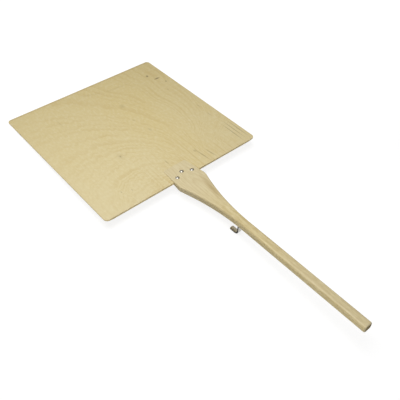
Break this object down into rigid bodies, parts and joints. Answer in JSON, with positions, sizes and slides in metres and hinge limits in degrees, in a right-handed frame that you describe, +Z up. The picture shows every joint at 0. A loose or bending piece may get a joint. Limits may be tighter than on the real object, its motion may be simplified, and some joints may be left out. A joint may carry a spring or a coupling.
{
  "type": "pizza peel",
  "caption": "Wooden pizza peel: a square plywood blade riveted into a long flared and slotted handle, with a bent steel strip hook under the handle for hanging it from a rail.",
  "frame": {"origin": "under the middle of the whole length, level with the underside of the hook's leg", "axes": "+Y along the handle from the butt to the front of the blade, +X to the right across the blade, +Z up out of the blade's carrying face"},
  "size_m": [0.47, 1.02, 0.0535],
  "materials": {
    "birch_face": "rotary-cut birch veneer, sanded, unfinished",
    "birch_crossband": "sawn end grain of birch veneer",
    "birch_core": "sawn edge of birch veneer",
    "handle_wood": "shaped and sanded pale hardwood, unfinished",
    "rivet_metal": "bright round heads",
    "hook_steel": "bright rolled strip",
    "screw_steel": "zinc plated"
  },
  "bodies": {
    "root": {"face_ply": "birch_face", "upper_cross_ply": "birch_crossband", "core_ply": "birch_core", "lower_cross_ply": "birch_crossband", "back_ply": "birch_face", "handle": "handle_wood", "blade_rivets": "rivet_metal", "rivet_washers": "rivet_metal", "hanging_hook": "hook_steel", "hook_screws": "screw_steel"}
  },
  "joints": []
}
